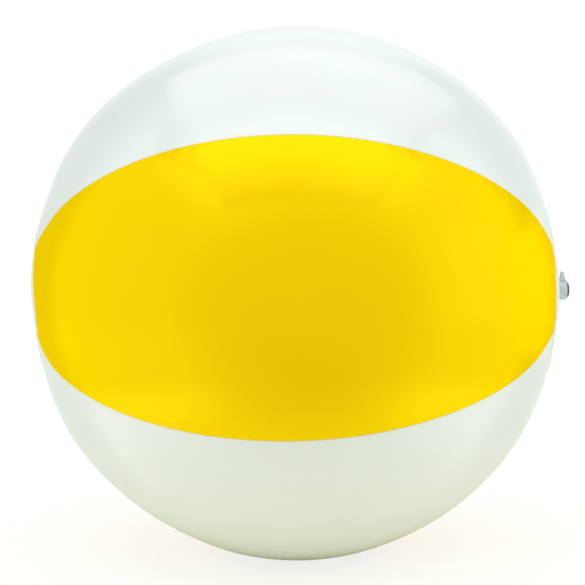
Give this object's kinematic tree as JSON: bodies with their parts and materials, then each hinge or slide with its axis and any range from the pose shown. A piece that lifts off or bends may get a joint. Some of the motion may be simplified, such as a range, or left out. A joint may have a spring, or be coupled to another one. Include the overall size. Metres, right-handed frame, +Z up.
{
  "type": "inflatable beach ball",
  "caption": "Inflatable vinyl beach ball of welded yellow and white panels, with round end caps and a soft push-in valve with a tethered stopper and a check flap.",
  "frame": {"origin": "centre of the flat spot under the ball, on the ground", "axes": "+Z up, +X along the ball's polar axis towards the valve, and the camera side is -Y"},
  "size_m": [0.2623, 0.26, 0.2594],
  "materials": {
    "yellow_vinyl": "glossy calendered vinyl film, opaque yellow",
    "white_vinyl": "glossy calendered vinyl film, white",
    "clear_vinyl": "soft moulded vinyl, clear with a blue-grey tint",
    "flap_film": "thin clear vinyl film"
  },
  "bodies": {
    "ball": {"front_yellow_panel": "yellow_vinyl", "top_white_panel": "white_vinyl", "rear_yellow_panel": "yellow_vinyl", "back_white_panel": "white_vinyl", "bottom_yellow_panel": "yellow_vinyl", "lower_white_panel": "white_vinyl", "valve_end_cap": "white_vinyl", "plain_end_cap": "white_vinyl", "valve_flange": "clear_vinyl", "valve_skirt": "clear_vinyl"},
    "valve": {"valve_stem": "clear_vinyl", "strap_root": "clear_vinyl"},
    "stopper": {"stopper": "clear_vinyl", "strap_arm": "clear_vinyl"},
    "flap": {"check_flap": "flap_film"}
  },
  "joints": [
    {"name": "valve_push", "type": "slide", "parent": "ball", "child": "valve", "axis": [-1, 0, 0], "range_m": [0, 0.006], "deforming": ["valve_skirt"]},
    {"name": "stopper_swing", "type": "hinge", "parent": "valve", "child": "stopper", "pos_m": [0.13092, 0, 0.13825], "axis": [0, -1, 0], "range_deg": [0, 110]},
    {"name": "flap_swing", "type": "hinge", "parent": "valve", "child": "flap", "pos_m": [0.1209, 0, 0.13384], "axis": [0, 1, 0], "range_deg": [0, 60]}
  ]
}
